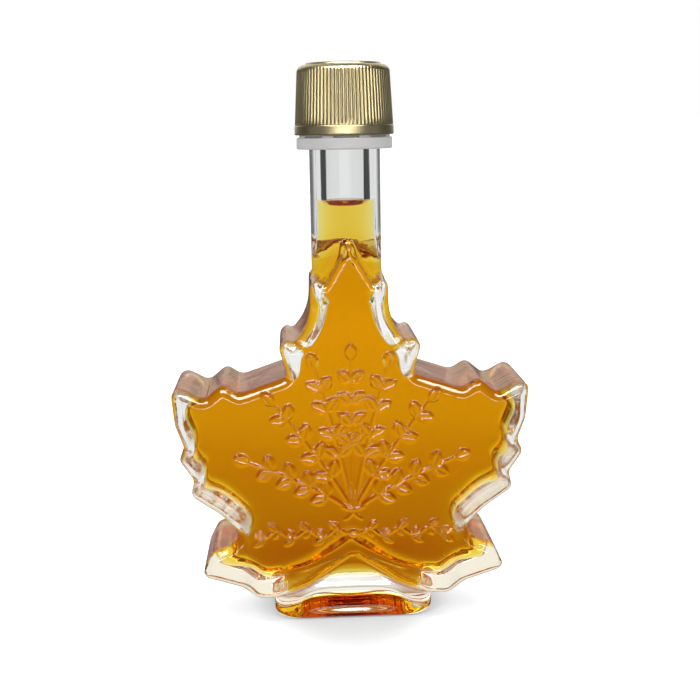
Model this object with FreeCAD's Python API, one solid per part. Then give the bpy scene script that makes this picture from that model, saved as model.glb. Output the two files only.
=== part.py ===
"""Leaf-shaped glass bottle of syrup with a ribbed screw cap, in millimetres.

+Z is up, the leaf's broad front face looks along -Y, and the origin is at the middle of the foot's underside.
Nodes: bottle (thick glass), syrup (what fills it up to the neck), cap and tamper_ring.
"""

import FreeCAD, Part
import math
import os

V = FreeCAD.Vector

# Leaf: the broad body of the bottle.
leaf_width = 92.8
leaf_bottom = 7.2
leaf_top = 103.4
leaf_depth = 31.0
rim_radius = 2.0
edge_wall = 4.1
face_wall = 3.0
cavity_rim_radius = 3.0

# Foot: the solid block that the bottle stands on.
foot_width = 43.0
foot_depth = 23.0
foot_corner_radius = 6.5
foot_edge_radius = 2.0
foot_overlap = 3.0

# Neck, and the finish that stands out from it and that the cap goes over.
neck_radius = 9.3
neck_wall = 4.25
neck_start_share = 0.62
finish_step = 1.6
finish_bottom = 126.6
finish_slope = 1.6
lip_top = 146.4
lip_radius = 0.8
syrup_level = 111.3

# Corners: how much of a side its two arcs may take, and how much of a corner's radius the rim's may take.
side_share = 0.97
rim_share = 0.92

# Working values: how far a cutting solid runs past what it cuts, and how near two heights count as one.
margin = 1.0
tolerance = 0.01

# Cap.
cap_bottom = 129.3
cap_wall = 1.6
cap_clearance = 0.5
band_height = 2.5
rib_count = 78
rib_depth = 0.35
rib_step = 0.1
rib_height = 13.7
rib_taper = 0.75
crown_thickness = 1.3
crown_rim = 2.35
crown_step = 0.3

# Tamper ring, hanging from the cap on small bridges.
ring_bottom = 125.7
ring_gap = 0.6
ring_clearance = 0.4
ring_wall = 1.3
bridge_count = 8
bridge_width = 1.2
bridge_depth = 0.8
bridge_setback = 0.1
bridge_root = 0.5

# One half of the leaf's edge, from the top tip down to the notch over the foot: distance from the middle as a
# share of half the width, height as a share of the leaf's height, and the corner's own radius.
leaf_half = [
    (0.000, 1.012, 2.2),
    (0.150, 0.885, 3.0),
    (0.214, 0.870, 2.3),
    (0.222, 0.772, 14.0),
    (0.324, 0.718, 0.5),
    (0.347, 0.740, 2.3),
    (0.409, 0.712, 2.3),
    (0.352, 0.632, 1.6),
    (0.632, 0.587, 2.6),
    (0.722, 0.618, 2.2),
    (0.829, 0.572, 2.4),
    (1.006, 0.622, 2.9),
    (0.990, 0.500, 9.0),
    (0.946, 0.436, 1.8),
    (0.982, 0.404, 2.1),
    (0.898, 0.346, 1.6),
    (0.922, 0.302, 2.1),
    (0.757, 0.247, 12.0),
    (0.636, 0.191, 2.2),
    (0.716, 0.157, 3.0),
    (0.806, 0.143, 3.0),
    (0.886, 0.070, 2.1),
    (0.640, 0.037, 3.0),
    (0.551, 0.003, 4.0),
    (0.440, 0.005, 7.0),
    (0.250, 0.040, 16.0),
    (0.000, 0.127, 1.5),
]

# The same half for the space inside, which follows the lobes and not the small teeth.
cavity_half = [
    (0.000, 1.000, 2.0),
    (0.238, 0.822, 12.0),
    (0.362, 0.632, 3.0),
    (0.632, 0.587, 8.0),
    (0.985, 0.612, 3.4),
    (0.952, 0.436, 12.0),
    (0.905, 0.318, 3.4),
    (0.662, 0.197, 4.0),
    (0.856, 0.064, 3.0),
    (0.500, 0.000, 6.0),
    (0.250, 0.030, 16.0),
    (0.000, 0.127, 2.0),
]

finish_radius = neck_radius + finish_step
cap_inner_radius = finish_radius + cap_clearance
cap_radius = cap_inner_radius + cap_wall
ring_inner_radius = finish_radius + ring_clearance
ring_radius = ring_inner_radius + ring_wall
bore_radius = neck_radius - neck_wall


def both_halves(half):
    """The closed outline in millimetres, as (point, corner radius), from one half and its mirror image."""
    height = leaf_top - leaf_bottom
    right = [(V(x * leaf_width / 2, 0, leaf_bottom + z * height), r) for x, z, r in half]
    left = [(V(-p.x, 0, p.z), r) for p, r in reversed(right[1:-1])]
    return right + left


def line_crossing(p, d, q, e):
    """Where the line through p along d meets the line through q along e, in the XZ plane."""
    cross = d.x * e.z - d.z * e.x
    t = ((q.x - p.x) * e.z - (q.z - p.z) * e.x) / cross
    return p + d * t


def inset(outline, distance):
    """Each side of the outline moved inward by the distance, with its corners where the moved sides meet."""
    count = len(outline)
    sides = []
    for i in range(count):
        a = outline[i][0]
        d = (outline[(i + 1) % count][0] - a).normalize()
        sides.append((a + V(d.z, 0, -d.x) * distance, d))
    moved = []
    for i in range(count):
        corner = line_crossing(*sides[i - 1], *sides[i])
        moved.append((corner, outline[i][1]))
    return moved


def corner_arcs(outline):
    """The arc at each corner as (start, middle, end, radius, bulges). Two that would meet on a side share it."""
    count = len(outline)
    turns, reaches, sides = [], [], []
    for i in range(count):
        before, corner, after = outline[i - 1][0], outline[i][0], outline[(i + 1) % count][0]
        turn = math.pi - (before - corner).getAngle(after - corner)
        turns.append(turn)
        reaches.append(outline[i][1] * math.tan(turn / 2))
        sides.append((after - corner).Length)
    arcs = []
    for i in range(count):
        before, corner, after = outline[i - 1][0], outline[i][0], outline[(i + 1) % count][0]
        back, ahead = (before - corner).normalize(), (after - corner).normalize()
        share_back = side_share * sides[i - 1] / (reaches[i - 1] + reaches[i])
        share_ahead = side_share * sides[i] / (reaches[i] + reaches[(i + 1) % count])
        reach = reaches[i] * min(1.0, share_back, share_ahead)
        radius = reach / math.tan(turns[i] / 2)
        middle = (back + ahead).normalize()
        centre = corner + middle * (radius / math.cos(turns[i] / 2))
        bulges = back.x * ahead.z - back.z * ahead.x > 0
        arcs.append((corner + back * reach, centre - middle * radius, corner + ahead * reach, radius, bulges))
    return arcs


def rounded_wire(arcs):
    """A closed wire of the arcs and the straight sides between them."""
    edges = []
    for i, (start, through, end, *_) in enumerate(arcs):
        edges.append(Part.Arc(start, through, end).toShape())
        edges.append(Part.makeLine(end, arcs[(i + 1) % len(arcs)][0]))
    return Part.Wire(edges)


def lies_at(edge, y):
    """Whether the whole edge lies in the plane at that Y."""
    return abs(edge.BoundBox.YMin - y) < tolerance and abs(edge.BoundBox.YMax - y) < tolerance


def slab(outline, depth, radius):
    """The outline as a solid centred on the XZ plane, its rims rounded as far as its sharpest corner lets them."""
    arcs = corner_arcs(outline)
    radius = min([radius] + [rim_share * corner_radius for *_, corner_radius, bulges in arcs if bulges])
    face = Part.Face(rounded_wire(arcs))
    face.translate(V(0, -depth / 2, 0))
    solid = face.extrude(V(0, depth, 0))
    ends = (-depth / 2, depth / 2)
    rims = [e for e in solid.Edges if any(lies_at(e, y) for y in ends)]
    return solid.makeFillet(radius, rims)


def turned(profile):
    """A solid of revolution about Z from (radius, height) points joined by straight lines."""
    points = [V(r, 0, z) for r, z in profile]
    face = Part.Face(Part.makePolygon(points + points[:1]))
    return face.revolve(V(0, 0, 0), V(0, 0, 1), 360)


def foot():
    """The block under the leaf: a rounded rectangle in plan that reaches up into the leaf's lower lobes."""
    top = both_halves(leaf_half)[len(leaf_half) - 1][0].z + foot_overlap
    block = Part.makeBox(foot_width, foot_depth, top, V(-foot_width / 2, -foot_depth / 2, 0))
    uprights = [e for e in block.Edges if e.BoundBox.ZLength > top / 2]
    block = block.makeFillet(foot_corner_radius, uprights)
    lower = [e for e in block.Edges if e.BoundBox.ZMax < tolerance]
    return block.makeFillet(foot_edge_radius, lower)


def neck_bottom():
    """The height at which the neck starts, low enough to be inside the leaf all round."""
    return leaf_bottom + neck_start_share * (leaf_top - leaf_bottom)


def neck():
    """The neck with the wider finish at its top and a rounded lip."""
    return turned([
        (0, neck_bottom()),
        (neck_radius, neck_bottom()),
        (neck_radius, finish_bottom),
        (finish_radius, finish_bottom + finish_slope),
        (finish_radius, lip_top - lip_radius),
        (finish_radius - lip_radius, lip_top),
        (0, lip_top),
    ])


def cavity():
    """The space inside the glass: the leaf's lobes and the bore that runs up through the neck."""
    outline = inset(both_halves(cavity_half), edge_wall)
    lobes = slab(outline, leaf_depth - 2 * face_wall, cavity_rim_radius)
    bore = Part.makeCylinder(bore_radius, lip_top + margin - neck_bottom(), V(0, 0, neck_bottom()))
    return lobes.fuse(bore)


def bottle(space):
    """The glass: leaf, foot and neck in one piece round the space inside."""
    leaf = slab(both_halves(leaf_half), leaf_depth, rim_radius)
    return leaf.fuse([foot(), neck()]).cut(space).removeSplitter()


def syrup(space):
    """What fills the space inside up to the level in the neck."""
    box = space.BoundBox
    box.enlarge(margin)
    corner = V(box.XMin, box.YMin, box.ZMin)
    below = Part.makeBox(box.XLength, box.YLength, syrup_level - box.ZMin, corner)
    return space.common(below)


def star(radius, height):
    """A closed wire of V-shaped ribs: corners on two circles by turns."""
    points = []
    for i in range(2 * rib_count):
        r = radius if i % 2 else radius - rib_depth
        angle = math.pi * i / rib_count
        points.append(V(r * math.cos(angle), r * math.sin(angle), height))
    return Part.makePolygon(points + points[:1])


def cap():
    """The screw cap: a smooth band, a ribbed skirt that narrows upward, and a rounded crown, hollow below."""
    band_top = cap_bottom + band_height
    rib_top = band_top + rib_height
    foot_of_ribs = cap_radius - rib_step
    head_of_ribs = foot_of_ribs - rib_taper
    band = Part.makeCylinder(cap_radius, band_height, V(0, 0, cap_bottom))
    ribs = Part.makeLoft([star(foot_of_ribs, band_top), star(head_of_ribs, rib_top)], True, True)
    crown_radius = head_of_ribs - rib_depth
    crown_top = lip_top + crown_thickness
    crown_height = crown_top - crown_step - rib_top
    eighth = math.pi / 4
    start = V(crown_radius, 0, rib_top)
    through = start + V((math.cos(eighth) - 1) * crown_rim, 0, math.sin(eighth) * crown_height)
    end = start + V(-crown_rim, 0, crown_height)
    edges = [
        Part.Arc(start, through, end).toShape(),
        Part.makeLine(end, end + V(-crown_step, 0, crown_step)),
        Part.makeLine(end + V(-crown_step, 0, crown_step), V(0, 0, crown_top)),
        Part.makeLine(V(0, 0, crown_top), V(0, 0, rib_top)),
        Part.makeLine(V(0, 0, rib_top), start),
    ]
    crown = Part.Face(Part.Wire(edges)).revolve(V(0, 0, 0), V(0, 0, 1), 360)
    hollow = Part.makeCylinder(cap_inner_radius, lip_top - cap_bottom + margin, V(0, 0, cap_bottom - margin))
    return band.fuse([ribs, crown]).cut(hollow)


def tamper_ring():
    """The ring left round the neck when the cap is opened, with the bridges that join it to the cap."""
    height = cap_bottom - ring_gap - ring_bottom
    outside = Part.makeCylinder(ring_radius, height, V(0, 0, ring_bottom))
    inside = Part.makeCylinder(ring_inner_radius, height + 2 * margin, V(0, 0, ring_bottom - margin))
    ring = outside.cut(inside)
    inner = ring_radius - bridge_setback - bridge_depth
    corner = V(inner, -bridge_width / 2, cap_bottom - ring_gap - bridge_root)
    bridges = []
    for i in range(bridge_count):
        block = Part.makeBox(bridge_depth, bridge_width, ring_gap + bridge_root, corner)
        block.rotate(V(0, 0, 0), V(0, 0, 1), 360 * (i + 0.5) / bridge_count)
        bridges.append(block)
    return ring.fuse(bridges).removeSplitter()


def main():
    os.makedirs("parts", exist_ok=True)
    space = cavity()
    nodes = {
        "bottle": bottle(space),
        "syrup": syrup(space),
        "cap": cap(),
        "tamper_ring": tamper_ring(),
    }
    for name, shape in nodes.items():
        volume = round(shape.Volume / 1000, 2)
        print(name, "solids", len(shape.Solids), "valid", shape.isValid(), "volume cm3", volume)
        shape.Solids[0].exportStep("parts/" + name + ".step")


main()
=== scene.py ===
"""Looks of the leaf-shaped syrup bottle: thick clear glass, amber syrup, gold ribbed cap, white tamper ring.

The file is laid out as a Blender add-on and run as a script. Each operator makes one piece of the bottle, and
the last one makes the stage. Lengths in the settings are metres. The shapes are worked out in millimetres,
which MM turns into metres, with +Z up and the leaf's broad front face towards -Y. Nodes work in metres.
"""

import math

import bpy
import numpy as np
from bpy.props import FloatProperty, FloatVectorProperty, IntProperty, PointerProperty
from mathutils import Matrix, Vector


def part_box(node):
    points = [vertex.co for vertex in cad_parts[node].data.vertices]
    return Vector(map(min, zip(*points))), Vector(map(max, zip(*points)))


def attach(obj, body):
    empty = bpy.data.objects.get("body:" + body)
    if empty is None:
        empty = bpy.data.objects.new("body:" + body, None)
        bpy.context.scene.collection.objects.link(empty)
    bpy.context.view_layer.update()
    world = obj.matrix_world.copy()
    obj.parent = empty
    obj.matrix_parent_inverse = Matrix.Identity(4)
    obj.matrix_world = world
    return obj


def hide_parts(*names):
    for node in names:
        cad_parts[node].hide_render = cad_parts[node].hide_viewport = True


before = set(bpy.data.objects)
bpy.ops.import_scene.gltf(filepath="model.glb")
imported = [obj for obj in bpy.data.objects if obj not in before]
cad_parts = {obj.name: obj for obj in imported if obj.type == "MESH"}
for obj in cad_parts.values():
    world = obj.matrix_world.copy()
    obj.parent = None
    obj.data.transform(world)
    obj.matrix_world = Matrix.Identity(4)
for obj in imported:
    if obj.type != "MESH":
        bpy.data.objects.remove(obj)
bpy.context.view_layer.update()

bl_info = {
    "name": "Leaf syrup bottle",
    "version": (1, 0, 0),
    "blender": (4, 5, 0),
    "location": "3D View > Sidebar > Leaf bottle",
    "description": "Makes a leaf-shaped glass bottle of syrup with its cap, ring and stage",
    "category": "Add Mesh",
}

MM = 0.001
BOTTLE_BOX = np.array(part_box("bottle")) / MM
CAP_BOX = np.array(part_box("cap")) / MM
RING_BOX = np.array(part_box("tamper_ring")) / MM
SYRUP_BOX = np.array(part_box("syrup")) / MM

LEAF_HALF_WIDTH = BOTTLE_BOX[1][0]
LEAF_HALF_DEPTH = BOTTLE_BOX[1][1]
LIP_TOP = BOTTLE_BOX[1][2]
SYRUP_LEVEL = SYRUP_BOX[1][2]
LEAF_LOW = 7.1
LEAF_HIGH = 103.4

# How much of a side its two corner arcs may take.
SIDE_SHARE = 0.97

# One half of the leaf's edge, from the top tip to the notch over the foot: distance from the middle as a
# share of half the width, height as a share of the leaf's height, and the corner's own radius in millimetres.
LEAF_HALF = [
    (0.000, 1.010, 1.0),
    (0.030, 0.955, 3.0),
    (0.142, 0.864, 0.8),
    (0.168, 0.895, 0.8),
    (0.216, 0.881, 1.2),
    (0.222, 0.772, 14.0),
    (0.325, 0.718, 0.5),
    (0.345, 0.738, 1.9),
    (0.403, 0.710, 1.9),
    (0.352, 0.632, 1.2),
    (0.632, 0.587, 2.2),
    (0.722, 0.616, 1.8),
    (0.829, 0.572, 2.2),
    (0.960, 0.606, 2.0),
    (1.012, 0.590, 1.7),
    (0.995, 0.500, 9.0),
    (0.946, 0.436, 1.4),
    (0.982, 0.404, 1.7),
    (0.898, 0.346, 1.3),
    (0.922, 0.302, 1.6),
    (0.757, 0.247, 12.0),
    (0.636, 0.191, 1.8),
    (0.716, 0.157, 3.0),
    (0.806, 0.143, 2.6),
    (0.880, 0.072, 1.5),
    (0.640, 0.035, 3.0),
    (0.551, 0.001, 4.0),
    (0.440, 0.003, 7.0),
    (0.250, 0.038, 16.0),
    (0.000, 0.120, 1.5),
]


# ---- fields in plan --------------------------------------------


def leaf_corners():
    """The whole leaf's corners (x, z) and radii, clockwise from the top: one half, then its mirror image."""
    half = np.array(LEAF_HALF)
    right = np.column_stack([half[:, 0] * LEAF_HALF_WIDTH, LEAF_LOW + half[:, 1] * (LEAF_HIGH - LEAF_LOW)])
    left = right[-2:0:-1] * (-1, 1)
    radii = np.concatenate([half[:, 2], half[-2:0:-1, 2]])
    return np.concatenate([right, left]), radii


def rounded_outline(corners, radii, steps=7):
    """Points round a closed outline: each corner becomes an arc, tangent to its two sides, in equal turns."""
    back = np.roll(corners, 1, axis=0) - corners
    ahead = np.roll(corners, -1, axis=0) - corners
    side = np.linalg.norm(ahead, axis=1)
    back /= np.linalg.norm(back, axis=1)[:, None]
    ahead /= side[:, None]
    turn = math.pi - np.arccos(np.clip((back * ahead).sum(1), -1, 1))
    reach = radii * np.tan(turn / 2)
    share_ahead = side / (reach + np.roll(reach, -1))
    share = np.minimum(1, SIDE_SHARE * np.minimum(share_ahead, np.roll(share_ahead, 1)))
    reach = reach * share
    radius = reach / np.tan(turn / 2)
    middle = (back + ahead) / np.linalg.norm(back + ahead, axis=1)[:, None]
    centre = corners + middle * (radius / np.cos(turn / 2))[:, None]
    start = corners + back * reach[:, None] - centre
    end = corners + ahead * reach[:, None] - centre
    t = np.linspace(0, 1, steps)[None, :, None]
    swing = turn[:, None, None]
    arc = (np.sin((1 - t) * swing) * start[:, None] + np.sin(t * swing) * end[:, None]) / np.sin(swing)
    return (centre[:, None] + arc).reshape(-1, 2)


def signed_distance(points, outline):
    """Distance from each point to the closed outline, below zero inside it: a point is inside when a ray from
    it crosses the outline an odd number of times."""
    best = np.full(len(points), np.inf)
    odd = np.zeros(len(points), bool)
    for start, stop in zip(outline, np.roll(outline, -1, axis=0)):
        step = stop - start
        away = points - start
        t = np.clip((away @ step) / max(step @ step, 1e-12), 0, 1)
        best = np.minimum(best, ((away - t[:, None] * step) ** 2).sum(1))
        spans = (start[1] > points[:, 1]) != (stop[1] > points[:, 1])
        if spans.any():
            cross = start[0] + (points[:, 1] - start[1]) * step[0] / (step[1] if step[1] else 1e-12)
            odd ^= spans & (points[:, 0] < cross)
    return np.where(odd, -1, 1) * np.sqrt(best)


class PlanField:
    """A smooth function of (x, z), kept as cubic B-spline heights on a square grid."""

    def __init__(self, low, step, heights):
        self.low = np.array(low, float)
        self.step = step
        self.heights = heights

    @classmethod
    def sampled(cls, low, high, step, values):
        """The field whose heights are values(points) on a grid from the low corner to the high one."""
        x, z = (l + step * np.arange(int(round((h - l) / step)) + 1) for l, h in zip(low, high))
        grid = np.stack(np.meshgrid(x, z, indexing="ij"), -1)
        return cls(low, step, values(grid.reshape(-1, 2)).reshape(len(x), len(z)))

    def lines(self, axis):
        """Where the grid's lines lie along an axis, 0 for x and 1 for z."""
        return self.low[axis] + self.step * np.arange(self.heights.shape[axis])

    def blurred(self, sigma):
        """The same field smoothed by a bell curve of the given width, along x and then along z."""
        heights = self.heights
        for axis in (0, 1):
            i = np.arange(heights.shape[axis])
            bell = np.exp(-0.5 * ((i[:, None] - i) * self.step / sigma) ** 2)
            bell /= bell.sum(1, keepdims=True)
            heights = np.moveaxis(np.tensordot(bell, np.moveaxis(heights, axis, 0), 1), 0, axis)
        return PlanField(self.low, self.step, heights)

    def at(self, x, z):
        """The field's value at each (x, z): the sixteen nearest heights weighed by the cubic B-spline."""
        spots = []
        for value, low, size in zip((x, z), self.low, self.heights.shape):
            u = np.clip((value - low) / self.step, 1, size - 2.001)
            i = np.floor(u).astype(int)
            t = u - i
            weights = (
                (1 - t) ** 3 / 6,
                (3 * t**3 - 6 * t**2 + 4) / 6,
                (-3 * t**3 + 3 * t**2 + 3 * t + 1) / 6,
                t**3 / 6,
            )
            spots.append((i, weights))
        (i, wx), (j, wz) = spots
        total = np.zeros(np.shape(x))
        for a in range(4):
            for b in range(4):
                total += wx[a] * wz[b] * self.heights[i + a - 1, j + b - 1]
        return total


# ---- raised ornament -------------------------------------------


# The part of the face that the ornament keeps to, in millimetres across and up, how far round a form its
# height is worked out, and the height of the tallest form, which the setting then scales.
RELIEF_LOW = (-33.0, 19.0)
RELIEF_HIGH = (33.0, 79.0)
RELIEF_MARGIN = 1.5
RELIEF_FULL = 0.5

# The sprays of the fan: the point that each stem leans towards, its tip, and its share without leaflets. The
# leaflets are a spacing apart, and lean from the stem by an angle.
FAN_FOOT = np.array([0.0, 31.5])
MIDDLE_SPRAY = ((0.0, 50.0), (0.0, 74.0), 0.46)
SIDE_SPRAYS = (
    ((3.0, 48.0), (10.0, 72.0), 0.42),
    ((7.0, 45.0), (21.5, 62.0), 0.36),
    ((10.0, 39.0), (28.5, 46.0), 0.32),
)
LEAFLET_SPACING = 5.2
LEAFLET_LEAN = 0.85

# The vine border: its height, where it starts and ends either side of the middle, its wave's length and
# swing, and for each leaflet of a pair the degrees that it turns, its length, width and height.
VINE_HEIGHT = 25.6
VINE_START, VINE_END = 2.2, 26.0
VINE_WAVE, VINE_SWING = 8.0, 0.95
VINE_LEAFLETS = ((38, 3.6, 1.9, 0.4), (-52, 2.6, 1.4, 0.36))


def ease(low, high, value):
    """0 below low, 1 above high, and a smooth S between them."""
    t = np.clip((value - low) / (high - low), 0, 1)
    return t * t * (3 - 2 * t)


def bow(start, bend, end, count):
    """Points on the curve from start to end that leans towards bend, the quadratic Bezier of the three."""
    t = np.linspace(0, 1, count)[:, None]
    return (1 - t) ** 2 * np.array(start) + 2 * t * (1 - t) * np.array(bend) + t**2 * np.array(end)


def stem(line, thick_start, thick_end, height):
    """A rounded cord along a line: its half thickness tapers, and its height falls off over the cord's edge.

    Returns its height as a function of points, and the corners of the box round it."""

    def form(points):
        best = np.full(len(points), np.inf)
        for k in range(len(line) - 1):
            step = line[k + 1] - line[k]
            away = points - line[k]
            t = np.clip((away @ step) / (step @ step), 0, 1)
            share = (k + t) / (len(line) - 1)
            thick = thick_start + (thick_end - thick_start) * share
            best = np.minimum(best, np.linalg.norm(away - t[:, None] * step, axis=1) - thick)
        return height * (1 - ease(-0.45, 0.30, best))

    return form, line.min(0), line.max(0)


def leaflet(base, angle, length, width, height):
    """A small pointed oval leaf: half its width follows sin(pi u) ** 0.75 along it, with a groove down the
    middle. Returns its height as a function of points, and the corners of the box round it."""
    ahead = np.array([math.cos(angle), math.sin(angle)])
    aside = np.array([-ahead[1], ahead[0]])

    def form(points):
        u = ((points - base) @ ahead) / length
        v = (points - base) @ aside
        half = width / 2 * np.sin(math.pi * np.clip(u, 0, 1)) ** 0.75
        outside = np.hypot(np.maximum(np.maximum(-u, u - 1), 0) * length, np.maximum(np.abs(v) - half, 0))
        edge = np.where((u > 0) & (u < 1) & (np.abs(v) < half), np.abs(v) - half, outside)
        groove = 0.35 * np.exp(-((v / 0.22) ** 2)) * ease(0.05, 0.3, u)
        return height * (1 - ease(-0.55, 0.3, edge)) * (1 - groove)

    return form, base - length, base + length


def fan():
    """Stems and leaflets of seven laurel sprays tied at the foot: leaflets in pairs, and one at each tip."""
    mirrored = [((-bend[0], bend[1]), (-end[0], end[1]), bare) for bend, end, bare in SIDE_SPRAYS]
    for bend, end, bare in (MIDDLE_SPRAY, *SIDE_SPRAYS, *mirrored):
        line = bow(FAN_FOOT, bend, end, 25)
        yield stem(line, 0.55, 0.22, 0.42)
        run = np.linalg.norm(np.diff(line, axis=0), axis=1).sum()
        count = int((1 - bare) * run / LEAFLET_SPACING)
        for k in range(count + 1):
            share = bare + (1 - bare) * k / count
            at = min(int(share * (len(line) - 1)), len(line) - 2)
            way = line[at + 1] - line[at]
            for lean in (0.0,) if k == count else (-LEAFLET_LEAN, LEAFLET_LEAN):
                yield leaflet(line[at], math.atan2(way[1], way[0]) + lean, 5.4 - share, 3.3, 0.5)
    yield stem(bow((-2.6, 32.8), (0, 31.6), (2.6, 32.8), 9), 0.55, 0.55, 0.5)
    for side in (-1, 1):
        yield stem(bow(FAN_FOOT, (side * 0.8, 30.0), (side * 2.2, 29.4), 9), 0.5, 0.3, 0.42)


def vine():
    """The border's stem on either side, which waves as a sine, and a pair of leaflets on each of its bows."""
    for side in (-1, 1):
        t = np.linspace(VINE_START, VINE_END, 56)
        wave = VINE_SWING * np.sin((t - VINE_START) * 2 * math.pi / VINE_WAVE)
        yield stem(np.column_stack([side * t, VINE_HEIGHT + wave]), 0.34, 0.26, 0.36)
        for k in range(6):
            turn = (-1) ** k
            base = np.array([side * (VINE_START + 1.4 + k * VINE_WAVE / 2), VINE_HEIGHT + 0.9 * turn])
            for degrees, length, width, height in VINE_LEAFLETS:
                angle = math.radians(degrees) * turn
                yield leaflet(base, angle if side > 0 else math.pi - angle, length, width, height)
    yield leaflet(np.array([-1.5, VINE_HEIGHT]), 0.0, 3.0, 2.2, 0.42)


def ornament(points):
    """Height of the raised ornament at each point: the highest of the fan's forms and the vine's."""
    height = np.zeros(len(points))
    for form, low, high in (*fan(), *vine()):
        near = ((points > low - RELIEF_MARGIN) & (points < high + RELIEF_MARGIN)).all(1)
        height[near] = np.maximum(height[near], form(points[near]))
    return height


# ---- solid shapes ----------------------------------------------


def rounded_extrusion(plan, along, radius):
    """Distance to the solid where plan < 0 in one plane and along < 0 across it, with its rim rounded."""
    u = plan + radius
    v = along + radius
    outside = np.hypot(np.maximum(u, 0), np.maximum(v, 0))
    return outside + np.minimum(np.maximum(u, v), 0) - radius


def blend(a, b, width):
    """The smaller of two distances, rounded off over the width where they are nearly equal."""
    h = np.maximum(width - np.abs(a - b), 0) / width
    return np.minimum(a, b) - h * h * width / 4


def surface_net(field, axes):
    """A closed mesh where a function on a grid of points passes through zero.

    Each grid cell that the surface crosses gets one point, at the mean of where the surface cuts its edges,
    and each cut grid edge joins the points of the four cells round it into a face that looks outward."""
    cells = np.array(field.shape) - 1
    ids, spots, quads = [], [], []
    for axis in range(3):
        u, v = (axis + 1) % 3, (axis + 2) % 3
        size = field.shape[axis]
        low = np.take(field, np.arange(size - 1), axis)
        high = np.take(field, np.arange(1, size), axis)
        edge = np.argwhere((low < 0) != (high < 0))
        f0 = low[tuple(edge.T)]
        f1 = high[tuple(edge.T)]
        share = f0 / (f0 - f1)
        point = np.stack([axes[k][edge[:, k]] for k in range(3)], 1)
        step = axes[axis][edge[:, axis] + 1] - axes[axis][edge[:, axis]]
        point[:, axis] += share * step
        ring = []
        for du, dv in ((-1, -1), (0, -1), (0, 0), (-1, 0)):
            cell = edge.copy()
            cell[:, u] += du
            cell[:, v] += dv
            number = np.ravel_multi_index(tuple(cell.T), tuple(cells))
            ids.append(number)
            spots.append(point)
            ring.append(number)
        ring = np.stack(ring, 1)
        quads.append(np.where((f0 < 0)[:, None], ring, ring[:, ::-1]))
    ids = np.concatenate(ids)
    spots = np.concatenate(spots)
    used, where = np.unique(ids, return_inverse=True)
    count = np.bincount(where)
    verts = np.stack([np.bincount(where, spots[:, k]) / count for k in range(3)], 1)
    faces = np.searchsorted(used, np.concatenate(quads))
    return verts, faces


def slope(function, points, reach=0.01):
    """The function's gradient at each point, from its values a short way either side along each axis."""
    parts = []
    for k in range(3):
        shift = np.zeros(3)
        shift[k] = reach
        parts.append((function(points + shift) - function(points - shift)) / (2 * reach))
    return np.stack(parts, 1)


def settle(function, points, most, rounds=4):
    """Points moved along the function's slope onto its zero surface, by at most a distance each round."""
    for _ in range(rounds):
        value = function(points)
        g = slope(function, points)
        move = -value[:, None] * g / np.maximum((g * g).sum(1), 0.05)[:, None]
        length = np.linalg.norm(move, axis=1)
        points = points + move * np.minimum(1, most / np.maximum(length, 1e-9))[:, None]
    return points


def unit(vectors):
    return vectors / np.maximum(np.linalg.norm(vectors, axis=1), 1e-12)[:, None]


def split_quads(verts, faces, chosen, cuts):
    """The mesh with its chosen quads cut into cuts x cuts smaller ones, and with the new points on their
    borders taken into the quads next to them, so that it stays closed. Returns points and a list of faces."""
    quads, rest = faces[chosen], faces[~chosen]

    def code(a, b):
        """One number for each pair of points, in either order."""
        return np.minimum(a, b).astype(np.int64) * len(verts) + np.maximum(a, b)

    borders = np.stack([quads, np.roll(quads, -1, axis=1)], 2).reshape(-1, 2)
    ends = np.unique(np.sort(borders, axis=1), axis=0)
    codes = code(*ends.T)
    t = np.arange(1, cuts) / cuts
    first = len(verts)
    start, stop = verts[ends[:, 0]][:, None], verts[ends[:, 1]][:, None]
    on_border = (start * (1 - t)[:, None] + stop * t[:, None]).reshape(-1, 3)

    def border(a, b):
        """Numbers of the points between corners a and b, in that order."""
        place = np.searchsorted(codes, code(a, b))
        run = first + place[:, None] * (cuts - 1) + np.arange(cuts - 1)
        return np.where((a < b)[:, None], run, run[:, ::-1])

    grid = np.zeros((len(quads), cuts + 1, cuts + 1), np.int64)
    a, b, c, d = quads.T
    grid[:, 0, 0], grid[:, cuts, 0], grid[:, cuts, cuts], grid[:, 0, cuts] = a, b, c, d
    grid[:, 1:cuts, 0] = border(a, b)
    grid[:, cuts, 1:cuts] = border(b, c)
    grid[:, 1:cuts, cuts] = border(d, c)
    grid[:, 0, 1:cuts] = border(a, d)
    inner = first + len(on_border) + np.arange(len(quads) * (cuts - 1) ** 2)
    grid[:, 1:cuts, 1:cuts] = inner.reshape(len(quads), cuts - 1, cuts - 1)
    u, v = (s.ravel()[None, :, None] for s in np.meshgrid(t, t, indexing="ij"))
    pa, pb, pc, pd = (verts[k][:, None] for k in (a, b, c, d))
    inside = (pa * (1 - u) * (1 - v) + pb * u * (1 - v) + pc * u * v + pd * (1 - u) * v).reshape(-1, 3)
    squares = (grid[:, :-1, :-1], grid[:, 1:, :-1], grid[:, 1:, 1:], grid[:, :-1, 1:])
    small = np.stack(squares, -1).reshape(-1, 4)
    touching = np.isin(code(rest, np.roll(rest, -1, axis=1)), codes).any(1)
    whole = rest[~touching].tolist()
    for quad in rest[touching]:
        corners = []
        for a, b in zip(quad, np.roll(quad, -1)):
            corners.append(int(a))
            place = int(np.searchsorted(codes, code(a, b)))
            if place < len(codes) and codes[place] == code(a, b):
                run = [first + place * (cuts - 1) + k for k in range(cuts - 1)]
                corners.extend(run if a < b else run[::-1])
        whole.append(corners)
    return np.concatenate([verts, on_border, inside]), small.tolist() + whole


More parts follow.
